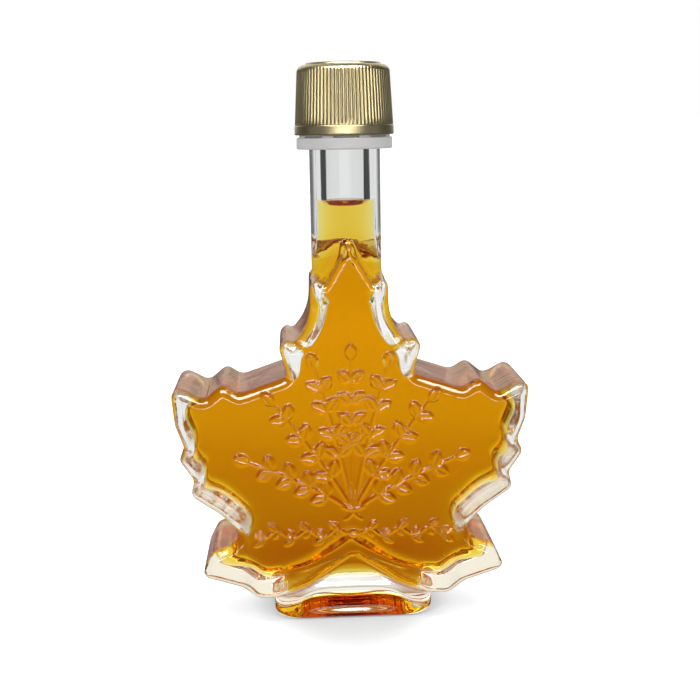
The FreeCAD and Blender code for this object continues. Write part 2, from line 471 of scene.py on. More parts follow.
def mesh_object(name, verts_mm, faces, normals=None, smooth=True):
    """A mesh object at the origin, from points in millimetres and faces as an array or a list."""
    mesh = bpy.data.meshes.new(name)
    faces = faces.tolist() if isinstance(faces, np.ndarray) else faces
    mesh.from_pydata(np.asarray(verts_mm) * MM, [], faces)
    mesh.validate()
    mesh.polygons.foreach_set("use_smooth", np.full(len(mesh.polygons), smooth))
    if normals is not None:
        mesh.normals_split_custom_set_from_vertices(normals)
    ob = bpy.data.objects.new(name, mesh)
    bpy.context.scene.collection.objects.link(ob)
    return ob


def turned_object(name, profile, count, shift=None, closed=False, sharp=32.0):
    """A surface of revolution: point k of the profile (radius, height) at equal angles round Z, with its
    radius changed by shift(angle, radius, height). The profile runs so that its right hand side is inside; it
    either ends on the axis at both ends or closes on itself."""
    profile = np.array(profile, float)
    rows = profile if closed else profile[1:-1]
    angle = np.arange(count) * 2 * math.pi / count
    a, r = np.meshgrid(angle, rows[:, 0])
    z = np.repeat(rows[:, 1][:, None], count, axis=1)
    if shift is not None:
        r = r + shift(a, r, z)
    verts = np.stack([r * np.cos(a), r * np.sin(a), z], -1).reshape(-1, 3)
    number = np.arange(len(rows) * count).reshape(len(rows), count)
    below = number if closed else number[:-1]
    above = np.roll(number, -1, axis=0) if closed else number[1:]
    quads = np.stack([below, np.roll(below, -1, 1), np.roll(above, -1, 1), above], -1).reshape(-1, 4).tolist()
    if not closed:
        poles = np.array([(0, 0, profile[0, 1]), (0, 0, profile[-1, 1])])
        start, end = len(verts), len(verts) + 1
        verts = np.concatenate([verts, poles])
        first, last = number[0], number[-1]
        quads += [(start, int(j), int(i)) for i, j in zip(first, np.roll(first, -1))]
        quads += [(end, int(i), int(j)) for i, j in zip(last, np.roll(last, -1))]
    ob = mesh_object(name, verts, quads)
    ob.data.set_sharp_from_angle(angle=math.radians(sharp))
    return ob


def arc_points(centre, radius, start, end, count):
    """Points on a circular arc in (radius, height), from one angle to another in degrees."""
    t = np.radians(np.linspace(start, end, count))
    return [(centre[0] + radius * math.cos(v), centre[1] + radius * math.sin(v)) for v in t]


# ---- bottle ----------------------------------------------------


class BottleShape:
    """The bottle's outside and inside as functions of points, below zero within the outer form or the hollow.

    Its own sizes are millimetres, and the settings give the rest."""

    plan_step = 0.4
    plan_margin = 12.0
    relief_step = 0.2
    # Outside: the leaf's rim is tighter at its tip, the finish stands out, and the foot has a waist.
    tip_rim = 1.3
    leaf_to_foot, body_to_neck, body_to_kick = 1.6, 1.4, 1.0
    neck_low = LEAF_LOW + 0.62 * (LEAF_HIGH - LEAF_LOW)
    neck_root = 20.0
    finish_radius = 10.9
    finish_bottom = 126.6
    lip_rounding = 0.8
    foot_top = LEAF_LOW + 0.12 * (LEAF_HIGH - LEAF_LOW) + 4.0
    foot_half_width, foot_half_depth = 21.5, 11.8
    foot_corner, foot_edge, foot_waist = 6.5, 2.2, 1.2
    kick_half_width, kick_half_depth = 19.4, 9.9
    # Inside: the lobes' rim is rounder low down, and a well with an arched floor reaches into the foot.
    inner_rim, inner_rim_low = 1.6, 5.0
    lobes_to_well, lobes_to_bore = 2.0, 7.0
    well_half_width, well_half_depth = 19.0, 9.4
    well_corner, well_edge = 5.0, 2.5
    well_bottom, well_top = 11.0, 34.0
    well_arch, well_arch_half_width, well_arch_limit = 2.6, 17.0, 1.2
    bore_past_lip, bore_rounding = 9.0, 0.5

    def __init__(self, glass):
        self.neck_radius = glass.neck_radius / MM
        self.bore_radius = glass.bore_radius / MM
        self.kick_height = glass.kick_height / MM
        self.rim = glass.rim / MM
        self.face_wall = glass.face_wall / MM
        outline = rounded_outline(*leaf_corners())
        low = (-LEAF_HALF_WIDTH - self.plan_margin, LEAF_LOW - self.plan_margin)
        high = (LEAF_HALF_WIDTH + self.plan_margin, LEAF_HIGH + self.plan_margin)
        raw = PlanField.sampled(low, high, self.plan_step, lambda p: signed_distance(p, outline))
        self.leaf = raw.blurred(0.5)
        self.space = self.inner_plan(raw.blurred(1.2), glass)
        self.relief = PlanField.sampled(RELIEF_LOW, RELIEF_HIGH, self.relief_step, ornament)
        self.relief.heights *= glass.relief_height / MM / RELIEF_FULL

    def inner_plan(self, lobes, glass):
        """The leaf's plan field drawn in by the glass's thickness, which depends on the way its edge faces:
        thin where it faces up, thicker at the sides, and thickest where it faces down, but for the notch."""
        x, z = lobes.lines(0)[:, None], lobes.lines(1)
        up = np.gradient(lobes.heights, lobes.step, axis=1)
        top = glass.top_wall / MM
        side = (glass.edge_wall + glass.shoulder_extra * ease(64.0, 74.0, z)) / MM
        side += (top - side) * ease(87.5, 91.5, z)
        notch = (glass.bottom_wall - glass.notch_wall) * np.exp(-((x / 14.0) ** 2))
        bottom = (glass.bottom_wall - notch) / MM
        plan = lobes.blurred(0.3)
        plan.heights = plan.heights + side + (top - side) * ease(0.62, 0.74, up)
        plan.heights += (bottom - side) * ease(0.1, 0.9, -up)
        return plan

    def raised(self, p):
        """How far the ornament stands out of the front face at each point near it."""
        height = np.zeros(len(p))
        plan = p[:, (0, 2)]
        near = (p[:, 1] < -0.8 * LEAF_HALF_DEPTH) & ((plan > RELIEF_LOW) & (plan < RELIEF_HIGH)).all(1)
        height[near] = self.relief.at(*plan[near].T)
        return height

    def post(self, p, radius, low, high, rounding):
        """A round post about Z between two heights, with rounded ends."""
        across = np.hypot(p[:, 0], p[:, 1]) - radius
        return rounded_extrusion(across, np.abs(p[:, 2] - (low + high) / 2) - (high - low) / 2, rounding)

    def block(self, p, half_width, half_depth, corner, low, high, edge):
        """A block with a rounded rectangle as its plan and rounded edges above and below."""
        plan = rounded_extrusion(np.abs(p[:, 0]) - half_width, np.abs(p[:, 1]) - half_depth, corner)
        return rounded_extrusion(plan, np.abs(p[:, 2] - (low + high) / 2) - (high - low) / 2, edge)

    def outside(self, p):
        """The outer form: leaf and foot, then neck and finish, less the hollow under the foot, whose height
        is kick_height * (1 - (x / a) ** 4 - (y / b) ** 2)."""
        rim = self.rim + (self.tip_rim - self.rim) * ease(86.0, 92.0, p[:, 2])
        across = np.abs(p[:, 1]) - LEAF_HALF_DEPTH - self.raised(p)
        leaf = rounded_extrusion(self.leaf.at(p[:, 0], p[:, 2]), across, rim)
        neck = self.post(p, self.neck_radius, self.neck_low - self.neck_root, LIP_TOP, self.lip_rounding)
        finish = self.post(p, self.finish_radius, self.finish_bottom, LIP_TOP, self.lip_rounding)
        half_width = self.foot_half_width
        half_depth = self.foot_half_depth - self.foot_waist * ease(7.0, 15.0, p[:, 2])
        foot = self.block(p, half_width, half_depth, self.foot_corner, 0, self.foot_top, self.foot_edge)
        spread = np.abs(p[:, 0] / self.kick_half_width) ** 4 + (p[:, 1] / self.kick_half_depth) ** 2
        kick = self.kick_height * (1 - spread) - p[:, 2]
        body = blend(blend(leaf, foot, self.leaf_to_foot), np.minimum(neck, finish), self.body_to_neck)
        return -blend(-body, -kick, self.body_to_kick)

    def hollow(self, p):
        """The space inside: the lobes, the well over the foot, whose floor sinks as x squared, the bore."""
        across = np.abs(p[:, 1]) - LEAF_HALF_DEPTH + self.face_wall
        sharp = np.maximum(ease(24.0, 40.0, p[:, 2]), ease(19.0, 11.0, np.abs(p[:, 0])))
        rim = self.inner_rim_low + (self.inner_rim - self.inner_rim_low) * sharp
        lobes = rounded_extrusion(self.space.at(p[:, 0], p[:, 2]), across, rim)
        bore = self.post(p, self.bore_radius, self.neck_low, LIP_TOP + self.bore_past_lip, self.bore_rounding)
        bent = p.copy()
        arch = np.minimum(np.abs(p[:, 0]) / self.well_arch_half_width, self.well_arch_limit)
        bent[:, 2] += self.well_arch * arch**2
        sides = (self.well_half_width, self.well_half_depth, self.well_corner)
        well = self.block(bent, *sides, self.well_bottom, self.well_top, self.well_edge)
        return blend(blend(lobes, well, self.lobes_to_well), bore, self.lobes_to_bore)

    def glass(self, p):
        return np.maximum(self.outside(p), -self.hollow(p))


def grid_axes(step):
    """Grid lines along X, Y and Z that reach a little past the bottle on every side."""
    low, high = BOTTLE_BOX
    return [np.arange(l - 1.5 * step, h + 2.5 * step, step) for l, h in zip(low, high)]


def field_on(function, axes):
    """The function's values on a grid of points, worked out one X layer at a time."""
    y, z = np.meshgrid(axes[1], axes[2], indexing="ij")
    layers = []
    for x in axes[0]:
        p = np.column_stack([np.full(y.size, x), y.ravel(), z.ravel()])
        layers.append(function(p).reshape(y.shape))
    return np.stack(layers)


def make_glass(shape, glass):
    """The glass's surface, net first, with the quads under the ornament cut finer before all settle on it."""
    step = glass.mesh_step / MM
    axes = grid_axes(step)
    verts, faces = surface_net(field_on(shape.glass, axes), axes)
    verts = settle(shape.glass, verts, 0.4 * step)
    centre = verts[faces].mean(1)
    worked = np.zeros(len(faces), bool)
    for dx in (-1, 0, 1):
        for dz in (-1, 0, 1):
            spot = centre + np.array([dx, 0, dz]) * 0.7 * step
            worked |= shape.raised(spot) > 0.01
    worked &= centre[:, 1] < -LEAF_HALF_DEPTH + 0.3
    verts, faces = split_quads(verts, faces, worked, 3)
    verts = settle(shape.glass, verts, 0.2 * step)
    ob = mesh_object("glass_bottle", verts, faces, unit(slope(shape.glass, verts)))
    mesh = ob.data
    centre = np.zeros(3 * len(mesh.polygons))
    mesh.polygons.foreach_get("center", centre)
    centre = centre.reshape(-1, 3) / MM
    inner = np.abs(shape.hollow(centre)) < np.abs(shape.outside(centre))
    mesh.materials.append(glass_material(glass))
    mesh.materials.append(bore_material(glass))
    mesh.polygons.foreach_set("material_index", inner.astype(np.int32))
    return ob


def make_syrup(shape, glass, syrup):
    """What fills the hollow up to its level: it reaches just into the glass, and its top climbs the wall."""
    step = glass.mesh_step / MM
    reach = syrup.reach / MM
    rise = syrup.meniscus_rise / MM
    rest = SYRUP_LEVEL - 0.5
    curl = 1.1

    def level(p):
        """Height of the free surface: flat in the middle, and rising as exp of the distance from the wall."""
        rho = np.hypot(p[:, 0], p[:, 1])
        return rest + rise * np.exp(np.minimum(rho - shape.bore_radius, 0) / curl)

    def wall(p):
        return shape.hollow(p) - reach

    def top(p):
        return p[:, 2] - level(p)

    def body(p):
        return np.maximum(wall(p), top(p))

    axes = grid_axes(step)
    verts, faces = surface_net(field_on(body, axes), axes)
    near = (np.abs(wall(verts)) < 0.9 * step) & (np.abs(top(verts)) < 0.9 * step)
    verts = settle(body, verts, 0.4 * step)
    edge = verts[near]
    for _ in range(6):
        edge = settle(wall, edge, step, 1)
        edge[:, 2] = level(edge)
    verts[near] = edge
    ob = mesh_object("syrup_fill", verts, faces)
    mesh = ob.data
    centre = verts[faces].mean(1)
    is_top = np.abs(top(centre)) < np.abs(wall(centre))
    normals = np.where(is_top[:, None, None], slope(top, verts)[faces], slope(wall, verts)[faces])
    normals /= np.linalg.norm(normals, axis=2)[:, :, None]
    mesh.normals_split_custom_set(normals.reshape(-1, 3))
    attribute = mesh.attributes.new("free_surface", "FLOAT", "FACE")
    attribute.data.foreach_set("value", is_top.astype(np.float32))
    mesh.materials.append(syrup_material(syrup))
    return ob


# ---- cap and ring ----------------------------------------------


def make_cap(cap):
    """The screw cap as one turned shell: hollow skirt, plain band, ribs that narrow upward, rounded crown.

    Between the ribs the radius drops by depth * ((1 - cos(count * angle)) / 2) ** 1.6."""
    # Radii and heights, from the skirt's inside to the crown. Corners, edges and the crown are roundings.
    (_, _, low), (radius, _, high) = CAP_BOX
    inner = radius - 1.6
    roof, roof_corner = LIP_TOP + 0.02, 0.6
    hem, hem_corner = 0.4, 0.3
    band, band_edge = 2.5, 0.22
    taper = 0.75
    rib_low, rib_high = low + band + 0.15, high - 2.5
    rib_foot = radius - 0.12
    rib_top = rib_foot - taper
    crown = 1.9
    crown_low = rib_high + 0.05
    crown_high = crown_low + crown
    profile = [(0, roof), (inner - 3, roof), (inner - roof_corner, roof), (inner, roof - roof_corner)]
    profile += [(inner, z) for z in np.linspace(roof - 1.6, low + hem, 9)]
    profile += [(inner + 0.15, low + 0.05), (radius - 0.35, low)]
    profile += arc_points((radius - hem_corner, low + hem_corner), hem_corner, -60, 0, 4)
    profile += [(radius, z) for z in np.linspace(low + 0.7, low + band - 0.5, 4)]
    profile += arc_points((radius - band_edge, low + band - band_edge), band_edge, 0, 75, 4)
    profile += [(rib_foot - taper * t, rib_low + (rib_high - rib_low) * t) for t in np.linspace(0, 1, 18)]
    profile += arc_points((rib_top - crown, crown_low), crown, 6, 84, 12)
    profile += [(rib_top - 2.2, crown_high), (rib_top - 2.3, crown_high + 0.1), (rib_top - 2.4, high - 0.1)]
    profile += [(rib_top - 2.6, high), (4, high), (0, high)]
    depth = cap.rib_depth / MM

    def ribs(angle, r, z):
        face = ease(rib_low - 0.02, rib_low + 0.35, z) * (1 - ease(rib_high + 0.1, rib_high + 1.3, z))
        outside = ease(inner + 0.3, inner + 0.6, r)
        return -depth * face * outside * ((1 - np.cos(cap.rib_count * angle)) / 2) ** 1.6

    ob = turned_object("screw_cap", profile, cap.rib_count * 10, ribs, sharp=50.0)
    ob.data.materials.append(cap_material(cap))
    return ob


def make_ring(ring):
    """The tamper ring as one turned band: a rounded ring below and a thin collar above it, which drops back
    between the bridges that hold the ring to the cap."""
    (_, _, low), (radius, _, high) = RING_BOX
    high -= 0.02
    inner = radius - 1.3
    side = radius - 0.05
    collar = radius - 0.38
    top = high - 0.62
    low_corner, top_corner = 0.45, 0.3
    profile = [(inner, high), (inner, top), (inner, low + 0.3), (inner + 0.25, low)]
    profile += arc_points((radius - low_corner, low + low_corner), low_corner, -90, 0, 6)
    profile += [(radius, low + 0.9), (side, low + 1.5), (side, top - 0.7)]
    profile += arc_points((side - top_corner, top - top_corner), top_corner, 0, 80, 5)
    profile += [(collar, top + 0.02), (collar, top + 0.2), (collar, high - 0.1), (collar - 0.08, high)]

    def gaps(angle, r, z):
        """The collar drops back but for the bridges, each in the middle of its share of the turn."""
        turn = np.abs((angle * ring.bridge_count / (2 * math.pi)) % 1 - 0.5) * 2
        zone = ease(top + 0.05, top + 0.15, z) * ease(inner + 0.3, collar - 0.3, r)
        return -(collar - inner - 0.3) * ease(0.30, 0.36, turn) * zone

    ob = turned_object("seal_ring", profile, 480, gaps, closed=True, sharp=45.0)
    ob.data.materials.append(ring_material(ring))
    return ob


# ---- materials -------------------------------------------------


GLASS_IOR = 1.52
SYRUP_IOR = 1.47
GLASS_TO_SYRUP_IOR = 0.97


def add_node(tree, kind, inputs=None, **settings):
    """A new node with its settings. Each input, by name or number, takes a value or a link from a socket."""
    node = tree.nodes.new(kind)
    for name, value in settings.items():
        setattr(node, name, value)
    for name, value in (inputs or {}).items():
        if isinstance(value, bpy.types.NodeSocket):
            tree.links.new(value, node.inputs[name])
        else:
            node.inputs[name].default_value = value
    return node


def new_material(name):
    mat = bpy.data.materials.new(name)
    mat.use_nodes = True
    mat.node_tree.nodes.clear()
    return mat, mat.node_tree


def arithmetic(tree, operation, *values):
    return add_node(tree, "ShaderNodeMath", dict(enumerate(values)), operation=operation).outputs[0]


def point(tree, kind="Object"):
    return add_node(tree, "ShaderNodeTexCoord").outputs[kind]


def parts_of(tree, vector):
    """The vector's X, Y and Z."""
    return add_node(tree, "ShaderNodeSeparateXYZ", {0: vector}).outputs


def length_of(tree, vector):
    return add_node(tree, "ShaderNodeVectorMath", {0: vector}, operation="LENGTH").outputs["Value"]


def fade(tree, value, low, high, before, after, curve="SMOOTHSTEP"):
    """before up to low, after from high on, and a change between them; each is a number or a socket."""
    inputs = {"Value": value, "From Min": low, "From Max": high, "To Min": before, "To Max": after}
    return add_node(tree, "ShaderNodeMapRange", inputs, interpolation_type=curve).outputs["Result"]


def choose(tree, share, first, second):
    """first * (1 - share) + second * share, each a number or a socket."""
    inputs = {"Factor": share, "A": first, "B": second}
    return add_node(tree, "ShaderNodeMix", inputs, data_type="FLOAT").outputs["Result"]


def colour_mix(tree, share, first, second):
    inputs = {"Factor": share, "A": (*first, 1), "B": (*second, 1)}
    return add_node(tree, "ShaderNodeMix", inputs, data_type="RGBA").outputs["Result"]


def noise(tree, scale, stretch=(1, 1, 1), detail=3.0):
    """Noise on Object coordinates, in lumps per metre, drawn out along the axes by the stretch's inverse."""
    mapping = add_node(tree, "ShaderNodeMapping", {"Vector": point(tree), "Scale": stretch})
    inputs = {"Vector": mapping.outputs["Vector"], "Scale": scale, "Detail": detail, "Roughness": 0.5}
    return add_node(tree, "ShaderNodeTexNoise", inputs).outputs["Fac"]


def bump(tree, height, strength, distance, before=None):
    inputs = {"Height": height, "Strength": strength, "Distance": distance}
    if before is not None:
        inputs["Normal"] = before
    return add_node(tree, "ShaderNodeBump", inputs).outputs["Normal"]


def add_shader(tree, kind, inputs=None):
    return add_node(tree, "ShaderNode" + kind, inputs).outputs[0]


def add_output(tree, shader, **others):
    add_node(tree, "ShaderNodeOutputMaterial", {"Surface": shader, **others})


def wavy_glass(tree, glass):
    """A clear glass shader whose surface carries the mould's faint drag lines and slow waves."""
    height = parts_of(tree, point(tree))["Z"]
    above_foot = fade(tree, height, 0.012, 0.020, 0.0, 0.5)
    below_neck = fade(tree, height, 0.084, 0.092, above_foot, 0.05)
    drag = bump(tree, noise(tree, 60, (0.6, 16, 0.6), 2.0), below_neck, 0.0005)
    waves = bump(tree, noise(tree, 70, detail=1.0), 0.5, 0.0002, drag)
    inputs = {"IOR": GLASS_IOR, "Roughness": 0.0, "Color": (*glass.colour, 1), "Normal": waves}
    return add_shader(tree, "BsdfGlass", inputs)


def glass_material(glass):
    mat, tree = new_material("clear_glass")
    add_output(tree, wavy_glass(tree, glass))
    return mat


def bore_material(glass):
    """The hollow's wall: glass where it is dry, and nothing to see where the syrup wets it."""
    mat, tree = new_material("bore_glass")
    height = parts_of(tree, point(tree))["Z"]
    dry = arithmetic(tree, "GREATER_THAN", height, (SYRUP_LEVEL + 1.1) * MM)
    clear = add_shader(tree, "BsdfTransparent")
    add_output(tree, add_shader(tree, "MixShader", {0: dry, 1: clear, 2: wavy_glass(tree, glass)}))
    return mat


def syrup_material(syrup):
    """Amber syrup: its wall bends light as syrup against glass, its free top as syrup against air, and its
    body takes up blue first, then green."""
    mat, tree = new_material("amber_syrup")
    where = add_node(tree, "ShaderNodeAttribute", attribute_name="free_surface").outputs["Fac"]
    wall = add_shader(tree, "BsdfGlass", {"IOR": GLASS_TO_SYRUP_IOR, "Roughness": 0.0})
    top = add_shader(tree, "BsdfGlass", {"IOR": SYRUP_IOR, "Roughness": 0.0})
    body = add_shader(tree, "VolumeAbsorption", {"Color": (*syrup.colour, 1), "Density": syrup.density})
    add_output(tree, add_shader(tree, "MixShader", {0: where, 1: wall, 2: top}), Volume=body)
    return mat


def cap_material(cap):
    """Satin gold lacquer on metal: fine grain, and duller and darker patches from handling."""
    mat, tree = new_material("satin_gold")
    grain = noise(tree, 5200, detail=2.0)
    patches = noise(tree, 240, detail=4.0)
    dark = tuple(c * 0.82 for c in cap.colour)
    inputs = {
        "Base Color": colour_mix(tree, patches, dark, cap.colour),
        "Roughness": fade(tree, patches, 0.3, 0.7, cap.roughness - 0.06, cap.roughness + 0.08, "LINEAR"),
        "Metallic": 1.0,
        "Coat Weight": 1.0,
        "Coat Roughness": 0.3,
        "Coat IOR": 2.0,
        "Normal": bump(tree, grain, 0.25, 0.00003),
    }
    add_output(tree, add_shader(tree, "BsdfPrincipled", inputs))
    return mat


def ring_material(ring):
    """Milky moulded plastic: a little light passes through it, with faint flow marks round the ring."""
    mat, tree = new_material("milky_plastic")
    flow = noise(tree, 260, (1, 1, 5))
    fine = noise(tree, 3500, detail=2.0)
    dark = tuple(c * 0.88 for c in ring.colour)
    inputs = {
        "Base Color": colour_mix(tree, flow, dark, ring.colour),
        "Roughness": fade(tree, flow, 0.3, 0.7, 0.34, 0.5, "LINEAR"),
        "Subsurface Weight": 0.25,
        "Subsurface Radius": (0.001, 0.001, 0.001),
        "Subsurface Scale": 1.0,
        "Normal": bump(tree, fine, 0.15, 0.00002, bump(tree, flow, 0.2, 0.0001)),
    }
    add_output(tree, add_shader(tree, "BsdfPrincipled", inputs))
    return mat


# ---- stage -----------------------------------------------------


# How far to the side, as a share of the whole way, the room and far floor turn dark for the rays that glass
# passes straight and for those that it has turned back; on the floor this dark is painted shade. The dark
# outlines the clear glass.
THROUGH_EDGE = (0.74, 0.90)
TURNED_EDGE = (0.45, 0.60)

# Painted light and shade that the floor shows through the glass, by its distance from the bottle's middle in
# metres,
# up to one: a painted shadow under the foot, painted amber light where the bottle would throw it, since
# caustics are off, and white far behind.
PAINTED_FLOOR_LIGHT = (
    (0.000, (0.05, 0.04, 0.03)),
    (0.012, (0.08, 0.06, 0.04)),
    (0.017, (0.69, 0.67, 0.65)),
    (0.020, (0.69, 0.67, 0.65)),
    (0.026, (0.42, 0.23, 0.13)),
    (0.050, (0.41, 0.26, 0.16)),
    (0.065, (0.45, 0.32, 0.22)),
    (0.096, (0.51, 0.45, 0.36)),
    (0.157, (0.58, 0.52, 0.42)),
    (0.240, (0.69, 0.71, 0.69)),
    (0.340, (0.75, 0.75, 0.75)),
    (0.474, (0.80, 0.80, 0.80)),
    (0.616, (0.74, 0.74, 0.74)),
    (1.000, (0.69, 0.69, 0.69)),
)
FLOOR_REACH = 30000.0
FLOOR_DROP = 0.03

# Each lamp's place and two sizes in metres, and its share of the brightest one's power.
LAMPS = (
    ("front_left", (-0.55, -0.6, 0.55), (0.12, 0.26), 1.0),
    ("front_right", (0.6, -0.5, 0.5), (0.1, 0.22), 0.66),
    ("top_front", (0.05, -0.35, 0.85), (0.4, 0.1), 0.66),
    ("top_back", (0.1, 0.5, 0.7), (0.6, 0.4), 0.5),
)
LAMP_AIM = np.array([0.0, 0.0, 0.07])

# The camera's place in millimetres, the degrees it looks down and right and is tilted, and its lens.
CAMERA_PLACE = np.array([-13.95, -332.0, 132.9])
CAMERA_DOWN, CAMERA_RIGHT, CAMERA_TILT = 10.4, 2.5, 1.0
CAMERA_SENSOR, CAMERA_LENS = 36.0, 64.2857
LIGHT_BOUNCES, GLOSSY_BOUNCES = 24, 16


def by_ray(tree, plain, mirror, through, turned, camera):
    """What different rays see: a plain one, one that a surface mirrors, one that glass passes straight, one
    that glass has turned back on the way, and the camera's own."""
    path = add_node(tree, "ShaderNodeLightPath").outputs
    bounced = arithmetic(tree, "GREATER_THAN", path["Glossy Depth"], 0.5)
    result = choose(tree, path["Is Glossy Ray"], plain, mirror)
    result = choose(tree, path["Is Transmission Ray"], result, choose(tree, bounced, through, turned))
    return choose(tree, path["Is Camera Ray"], result, camera)


def dark_sides(tree, aside, share):
    """How dark it is far to either side, for rays that glass passes straight and those it has turned back."""
    edges = (fade(tree, aside, *edge, 0.0, 1.0) for edge in (THROUGH_EDGE, TURNED_EDGE))
    return [arithmetic(tree, "MULTIPLY", edge, share) for edge in edges]


def make_world(stage):
    """A white room, bright behind the bottle and dark to its left and right for the rays that glass bends.
    What mirrors it sees a narrow window in front, a softbox above that and a backdrop behind."""
    world = bpy.data.worlds.new("studio")
    bpy.context.scene.world = world
    world.use_nodes = True
    tree = world.node_tree
    tree.nodes.clear()
    way = parts_of(tree, point(tree, "Generated"))
    back, up = way["Y"], way["Z"]
    aside = arithmetic(tree, "ABSOLUTE", way["X"])

    wall = fade(tree, back, -0.2, 0.1, 0.75, fade(tree, up, -0.05, 0.35, 0.82, 1.0))
    through_dark, turned_dark = dark_sides(tree, aside, fade(tree, up, 0.06, 0.14, 1.0, 0.0))
    through = choose(tree, through_dark, wall, 0.10)
    turned = choose(tree, turned_dark, wall, 0.01)

    window = fade(tree, up, 0.06, 0.09, fade(tree, aside, 0.22, 0.66, 11.5, 0.12), 0.05)
    box_low, box_high = fade(tree, up, 0.64, 0.67, 0.0, 1.0), fade(tree, up, 0.84, 0.87, 1.0, 0.0)
    box_side = fade(tree, aside, 0.45, 0.55, 1.0, 0.0)
    box = arithmetic(tree, "MULTIPLY", arithmetic(tree, "MULTIPLY", box_low, box_high), box_side)
    front = choose(tree, box, window, 20.0)
    backdrop = fade(tree, back, 0.35, 0.7, 0.03, fade(tree, aside, 0.45, 0.75, 0.85, 0.16))
    mirror = fade(tree, back, -0.15, 0.1, front, backdrop)

    mirrored = add_node(tree, "ShaderNodeLightPath").outputs["Is Glossy Ray"]
    inputs = {
        "Color": colour_mix(tree, mirrored, (1, 1, 1), (1.0, 0.94, 0.79)),
        "Strength": by_ray(tree, stage.room, mirror, through, turned, 1.0),
    }
    add_node(tree, "ShaderNodeOutputWorld", {"Surface": add_shader(tree, "Background", inputs)})


def make_floor(stage):
    """A broad white floor. To what mirrors it, it shows a painted reflection: a dim glow by distance, darkest
    in front of the bottle, as a table by a dark room would look. Seen through the glass it shows painted
    light and shade by distance, and to the camera a painted contact shadow near the bottle."""
    low, high = -FLOOR_REACH, FLOOR_REACH
    corners = [(x, y, -FLOOR_DROP) for x, y in ((low, low), (high, low), (high, high), (low, high))]
    floor = mesh_object("floor", corners, [(0, 1, 2, 3)])
    mat, tree = new_material("white_floor")
    place = point(tree)
    parts = parts_of(tree, place)
    distance = length_of(tree, place)

    # Painted reflection: to mirrored rays the floor is a glow set by distance, 0.04 in front of the bottle
    # out to 0.8 m and 0.5 beyond, and behind it 0.35 near the bottle falling to 0.1.
    before = fade(tree, distance, 0.8, 1.4, 0.04, 0.5)
    behind = fade(tree, distance, 0.10, 0.20, 0.35, 0.1)
    mirror = fade(tree, parts["Y"], 0.03, 0.08, before, behind)
    # Painted contact shadow: to the camera the floor's white glow is lower within 12 to 30 mm of the bottle,
    # so the shade there is painted by distance.
    flattened = add_node(tree, "ShaderNodeVectorMath", {0: place, 1: (1.0, 0.6, 1.0)}, operation="MULTIPLY")
    white_glow_with_painted_shadow = fade(tree, length_of(tree, flattened.outputs[0]), 0.012, 0.03, 0.18, 0.62)

    # Painted shade and light seen through the glass: the far floor to either side is painted dark, and behind
    # the bottle it is painted brighter.
    aside = arithmetic(tree, "DIVIDE", arithmetic(tree, "ABSOLUTE", parts["X"]), distance)
    through_dark, turned_dark = dark_sides(tree, aside, fade(tree, distance, 0.8, 1.3, 0.0, 1.0))
    painted_brighter_behind = fade(tree, parts["Y"], -0.03, 0.0, 1.0, 1.2)
    through = choose(tree, through_dark, painted_brighter_behind, 0.12)
    turned = choose(tree, turned_dark, painted_brighter_behind, 0.01)
    # Painted light and shade by distance from the bottle, from the painted floor light table, shown only to
    # rays through the glass.
    painted_shade_ramp = add_node(tree, "ShaderNodeValToRGB", {0: distance})
    elements = painted_shade_ramp.color_ramp.elements
    for at, _ in PAINTED_FLOOR_LIGHT[1:-1]:
        elements.new(at)
    for element, (_, colour) in zip(elements, PAINTED_FLOOR_LIGHT):
        element.color = (*colour, 1)

    painted_through_light = add_shader(tree, "Emission", {
        "Color": painted_shade_ramp.outputs["Color"],
        "Strength": by_ray(tree, 0.0, 0.0, through, turned, 0.0),
    })
    white_and_painted_glow = add_shader(tree, "Emission", {"Strength": by_ray(tree, 0.0, mirror, 0.0, 0.0, white_glow_with_painted_shadow)})
    matt = add_shader(tree, "BsdfDiffuse", {"Color": by_ray(tree, 0.85, 0.0, 0.0, 0.0, 0.85)})
    both = add_shader(tree, "AddShader", {0: matt, 1: painted_through_light})
    add_output(tree, add_shader(tree, "AddShader", {0: both, 1: white_and_painted_glow}))
    mat.cycles.emission_sampling = "NONE"
    floor.data.materials.append(mat)


def looking(place, forward, roll):
    """The placing of a lamp or camera at a point, looking along forward, turned by roll about it."""
    forward = np.array(forward, float) / np.linalg.norm(forward)
    right = np.cross(forward, (0, 0, 1))
    right /= np.linalg.norm(right)
    up = np.cross(right, forward)
    r = math.cos(roll) * right - math.sin(roll) * up
    u = math.sin(roll) * right + math.cos(roll) * up
    return Matrix([(r[k], u[k], -forward[k], place[k]) for k in range(3)] + [(0, 0, 0, 1)])


def make_lamps(stage):
    """Lamps that light the floor and the cap but aren't mirrored: what shines in the glass is the room."""
    for name, place, size, share in LAMPS:
        data = bpy.data.lights.new(name, "AREA")
        data.shape = "RECTANGLE"
        data.size, data.size_y = size
        data.energy = share * stage.lamp_power
        ob = bpy.data.objects.new(name, data)
        ob.visible_glossy = False
        ob.matrix_world = looking(place, LAMP_AIM - place, 0.0)
        bpy.context.scene.collection.objects.link(ob)


def make_camera():
    scene = bpy.context.scene
    camera = bpy.data.cameras.new("camera")
    camera.sensor_width = CAMERA_SENSOR
    camera.lens = CAMERA_LENS
    camera.clip_start = 0.01
    ob = bpy.data.objects.new("camera", camera)
    down, right, tilt = (math.radians(v) for v in (CAMERA_DOWN, CAMERA_RIGHT, CAMERA_TILT))
    forward = (math.sin(right) * math.cos(down), math.cos(right) * math.cos(down), -math.sin(down))
    ob.matrix_world = looking(CAMERA_PLACE * MM, forward, tilt)
    scene.collection.objects.link(ob)
    scene.camera = ob
    scene.view_settings.view_transform = "Standard"
    scene.cycles.caustics_refractive = False
    scene.cycles.max_bounces = LIGHT_BOUNCES
    scene.cycles.transmission_bounces = LIGHT_BOUNCES
    scene.cycles.glossy_bounces = GLOSSY_BOUNCES


